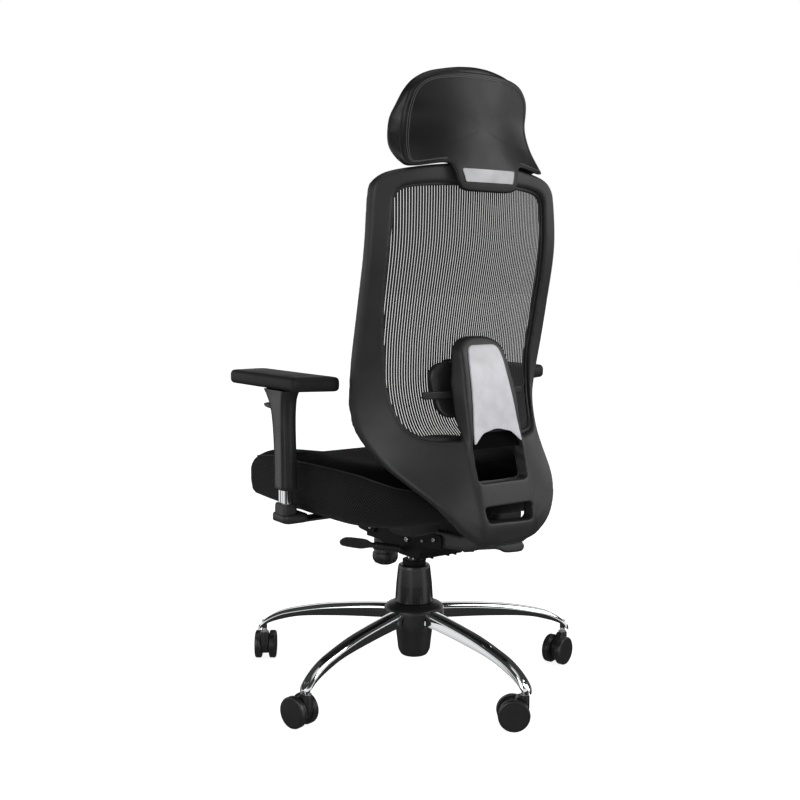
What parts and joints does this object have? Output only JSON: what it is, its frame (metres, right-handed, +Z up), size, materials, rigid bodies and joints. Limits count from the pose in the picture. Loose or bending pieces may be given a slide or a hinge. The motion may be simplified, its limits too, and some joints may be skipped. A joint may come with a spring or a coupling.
{
  "type": "swivel office chair",
  "caption": "High-back office chair: mesh back in a moulded frame, headrest, height-adjustable arms, gas lift and chrome star base on casters.",
  "frame": {"origin": "on the floor under the middle of the chair's bounding box; the column stands at x -8 mm, y -19 mm", "axes": "+Z up, the sitter faces -Y, the sitter's left is +X"},
  "size_m": [0.6973, 0.6876, 1.214],
  "materials": {
    "chrome": "mirror-bright plating on the legs, the gas cylinder and the arm posts",
    "steel": "plain bright steel pins and plates",
    "black_steel": "black semi-gloss paint",
    "wheel_plastic": "black nylon, slightly glossy",
    "caster_plastic": "black nylon",
    "frame_plastic": "matt black moulding with a fine grain",
    "trim_plastic": "matt black moulding",
    "pad_rubber": "soft black skin",
    "seat_fabric": "black spacer mesh fabric",
    "back_fabric": "black woven strips with open gaps",
    "head_leather": "black coated fabric, satin",
    "head_shell": "black covered shell, satin",
    "silver_trim": "satin silver paint"
  },
  "bodies": {
    "base": {"base_hub_tube": "black_steel", "hub_lower_cup": "trim_plastic", "hub_top_cover": "trim_plastic", "base_leg_1": "chrome", "base_leg_2": "chrome", "base_leg_3": "chrome", "base_leg_4": "chrome", "base_leg_5": "chrome", "column_tube": "black_steel", "column_cover": "trim_plastic"},
    "caster_1": {"caster_1_stem": "steel", "caster_1_body": "caster_plastic"},
    "caster_1_wheel_a": {"caster_1_wheel_a": "wheel_plastic"},
    "caster_1_wheel_b": {"caster_1_wheel_b": "wheel_plastic"},
    "caster_2": {"caster_2_stem": "steel", "caster_2_body": "caster_plastic"},
    "caster_2_wheel_a": {"caster_2_wheel_a": "wheel_plastic"},
    "caster_2_wheel_b": {"caster_2_wheel_b": "wheel_plastic"},
    "caster_3": {"caster_3_stem": "steel", "caster_3_body": "caster_plastic"},
    "caster_3_wheel_a": {"caster_3_wheel_a": "wheel_plastic"},
    "caster_3_wheel_b": {"caster_3_wheel_b": "wheel_plastic"},
    "caster_4": {"caster_4_stem": "steel", "caster_4_body": "caster_plastic"},
    "caster_4_wheel_a": {"caster_4_wheel_a": "wheel_plastic"},
    "caster_4_wheel_b": {"caster_4_wheel_b": "wheel_plastic"},
    "caster_5": {"caster_5_stem": "steel", "caster_5_body": "caster_plastic"},
    "caster_5_wheel_a": {"caster_5_wheel_a": "wheel_plastic"},
    "caster_5_wheel_b": {"caster_5_wheel_b": "wheel_plastic"},
    "spindle": {"piston_rod": "steel"},
    "chassis": {"gas_cylinder": "chrome", "mechanism_housing": "black_steel"},
    "tension_knob": {"tension_knob": "trim_plastic"},
    "tilt_lever": {"tilt_lever": "trim_plastic"},
    "height_lever": {"height_lever": "trim_plastic"},
    "seat": {"seat_plate": "black_steel", "seat_pan": "trim_plastic", "seat_cushion": "seat_fabric", "arm_left_bracket": "trim_plastic", "arm_left_post": "chrome", "arm_right_bracket": "trim_plastic", "arm_right_post": "chrome"},
    "back": {"back_frame": "frame_plastic", "recline_bracket": "steel", "spine_panel": "silver_trim", "mesh_bead": "frame_plastic", "back_mesh": "back_fabric"},
    "lumbar": {"lumbar_pad": "trim_plastic", "lumbar_bar": "trim_plastic"},
    "headrest": {"headrest_shell": "head_shell", "headrest_cushion": "head_leather", "headrest_badge": "silver_trim"},
    "arm_left_sleeve": {"arm_left_sleeve": "trim_plastic"},
    "arm_left_trigger": {"arm_left_trigger": "trim_plastic"},
    "arm_left_pad": {"arm_left_pad": "pad_rubber"},
    "arm_right_sleeve": {"arm_right_sleeve": "trim_plastic"},
    "arm_right_trigger": {"arm_right_trigger": "trim_plastic"},
    "arm_right_pad": {"arm_right_pad": "pad_rubber"}
  },
  "joints": [
    {"name": "caster_1_swivel", "type": "hinge", "parent": "base", "child": "caster_1", "pos_m": [0.31348, 0.09169, 0.06], "axis": [0, 0, 1], "continuous": true},
    {"name": "caster_1_roll_a", "type": "hinge", "parent": "caster_1", "child": "caster_1_wheel_a", "pos_m": [0.31913, 0.07199, 0.03], "axis": [0.9613, 0.2756, 0], "continuous": true},
    {"name": "caster_1_roll_b", "type": "hinge", "parent": "caster_1", "child": "caster_1_wheel_b", "pos_m": [0.31913, 0.07199, 0.03], "axis": [0.9613, 0.2756, 0], "continuous": true},
    {"name": "caster_2_swivel", "type": "hinge", "parent": "base", "child": "caster_2", "pos_m": [-0.01393, 0.32095, 0.06], "axis": [0, 0, 1], "continuous": true},
    {"name": "caster_2_roll_a", "type": "hinge", "parent": "caster_2", "child": "caster_2_wheel_a", "pos_m": [0.00286, 0.30919, 0.03], "axis": [0.5736, 0.8192, 0], "continuous": true},
    {"name": "caster_2_roll_b", "type": "hinge", "parent": "caster_2", "child": "caster_2_wheel_b", "pos_m": [0.00286, 0.30919, 0.03], "axis": [0.5736, 0.8192, 0], "continuous": true},
    {"name": "caster_3_swivel", "type": "hinge", "parent": "base", "child": "caster_3", "pos_m": [-0.33314, 0.08041, 0.06], "axis": [0, 0, 1], "continuous": true},
    {"name": "caster_3_roll_a", "type": "hinge", "parent": "caster_3", "child": "caster_3_wheel_a", "pos_m": [-0.31354, 0.0864, 0.03], "axis": [-0.2924, 0.9563, 0], "continuous": true},
    {"name": "caster_3_roll_b", "type": "hinge", "parent": "caster_3", "child": "caster_3_wheel_b", "pos_m": [-0.31354, 0.0864, 0.03], "axis": [-0.2924, 0.9563, 0], "continuous": true},
    {"name": "caster_4_swivel", "type": "hinge", "parent": "base", "child": "caster_4", "pos_m": [-0.20302, -0.29751, 0.06], "axis": [0, 0, 1], "continuous": true},
    {"name": "caster_4_roll_a", "type": "hinge", "parent": "caster_4", "child": "caster_4_wheel_a", "pos_m": [-0.22228, -0.30452, 0.03], "axis": [0.342, -0.9397, 0], "continuous": true},
    {"name": "caster_4_roll_b", "type": "hinge", "parent": "caster_4", "child": "caster_4_wheel_b", "pos_m": [-0.22228, -0.30452, 0.03], "axis": [0.342, -0.9397, 0], "continuous": true},
    {"name": "caster_5_swivel", "type": "hinge", "parent": "base", "child": "caster_5", "pos_m": [0.19662, -0.29054, 0.06], "axis": [0, 0, 1], "continuous": true},
    {"name": "caster_5_roll_a", "type": "hinge", "parent": "caster_5", "child": "caster_5_wheel_a", "pos_m": [0.18486, -0.30733, 0.03], "axis": [0.8192, -0.5736, 0], "continuous": true},
    {"name": "caster_5_roll_b", "type": "hinge", "parent": "caster_5", "child": "caster_5_wheel_b", "pos_m": [0.18486, -0.30733, 0.03], "axis": [0.8192, -0.5736, 0], "continuous": true},
    {"name": "swivel", "type": "hinge", "parent": "base", "child": "spindle", "pos_m": [-0.008, -0.019, 0.1], "axis": [0, 0, 1], "continuous": true},
    {"name": "gas_lift", "type": "slide", "parent": "spindle", "child": "chassis", "axis": [0, 0, 1], "range_m": [0, 0.1]},
    {"name": "tension_turn", "type": "hinge", "parent": "chassis", "child": "tension_knob", "pos_m": [-0.008, -0.125, 0.25], "axis": [0, 0, 1], "continuous": true},
    {"name": "tilt_lever_lift", "type": "hinge", "parent": "chassis", "child": "tilt_lever", "pos_m": [0.048, 0.017, 0.286], "axis": [0, -1, 0], "range_deg": [0, 8]},
    {"name": "height_lever_lift", "type": "hinge", "parent": "chassis", "child": "height_lever", "pos_m": [-0.064, 0.065, 0.281], "axis": [0, 1, 0], "range_deg": [0, 8], "stiffness_Nm_per_rad": 0.6, "springref_deg": -8.59},
    {"name": "back_recline", "type": "hinge", "parent": "chassis", "child": "back", "pos_m": [-0.008, 0.043, 0.312], "axis": [-1, 0, 0], "range_deg": [0, 20], "stiffness_Nm_per_rad": 40, "springref_deg": -34.38},
    {"name": "seat_tilt", "type": "hinge", "parent": "chassis", "child": "seat", "pos_m": [-0.008, -0.089, 0.314], "axis": [-1, 0, 0], "range_deg": [0, 8]},
    {"name": "arm_left_height", "type": "slide", "parent": "seat", "child": "arm_left_sleeve", "axis": [0, 0, 1], "range_m": [0, 0.07]},
    {"name": "arm_left_pad_slide", "type": "slide", "parent": "arm_left_sleeve", "child": "arm_left_pad", "axis": [0, 1, 0], "range_m": [-0.03, 0.03]},
    {"name": "arm_left_trigger_squeeze", "type": "hinge", "parent": "arm_left_sleeve", "child": "arm_left_trigger", "pos_m": [0.283, -0.064, 0.583], "axis": [-1, 0, 0], "range_deg": [0, 5], "stiffness_Nm_per_rad": 0.1, "springref_deg": -11.46},
    {"name": "arm_right_height", "type": "slide", "parent": "seat", "child": "arm_right_sleeve", "axis": [0, 0, 1], "range_m": [0, 0.07]},
    {"name": "arm_right_pad_slide", "type": "slide", "parent": "arm_right_sleeve", "child": "arm_right_pad", "axis": [0, 1, 0], "range_m": [-0.03, 0.03]},
    {"name": "arm_right_trigger_squeeze", "type": "hinge", "parent": "arm_right_sleeve", "child": "arm_right_trigger", "pos_m": [-0.299, -0.064, 0.583], "axis": [-1, 0, 0], "range_deg": [0, 5], "stiffness_Nm_per_rad": 0.1, "springref_deg": -11.46},
    {"name": "lumbar_height", "type": "slide", "parent": "back", "child": "lumbar", "axis": [0, -0.2, 0.9798], "range_m": [0, 0.015]},
    {"name": "headrest_height", "type": "slide", "parent": "back", "child": "headrest", "axis": [0, 0, 1], "range_m": [0, 0.03]}
  ],
  "couplings": [
    {"joint": "seat_tilt", "follows": "back_recline", "ratio": 0.4}
  ]
}
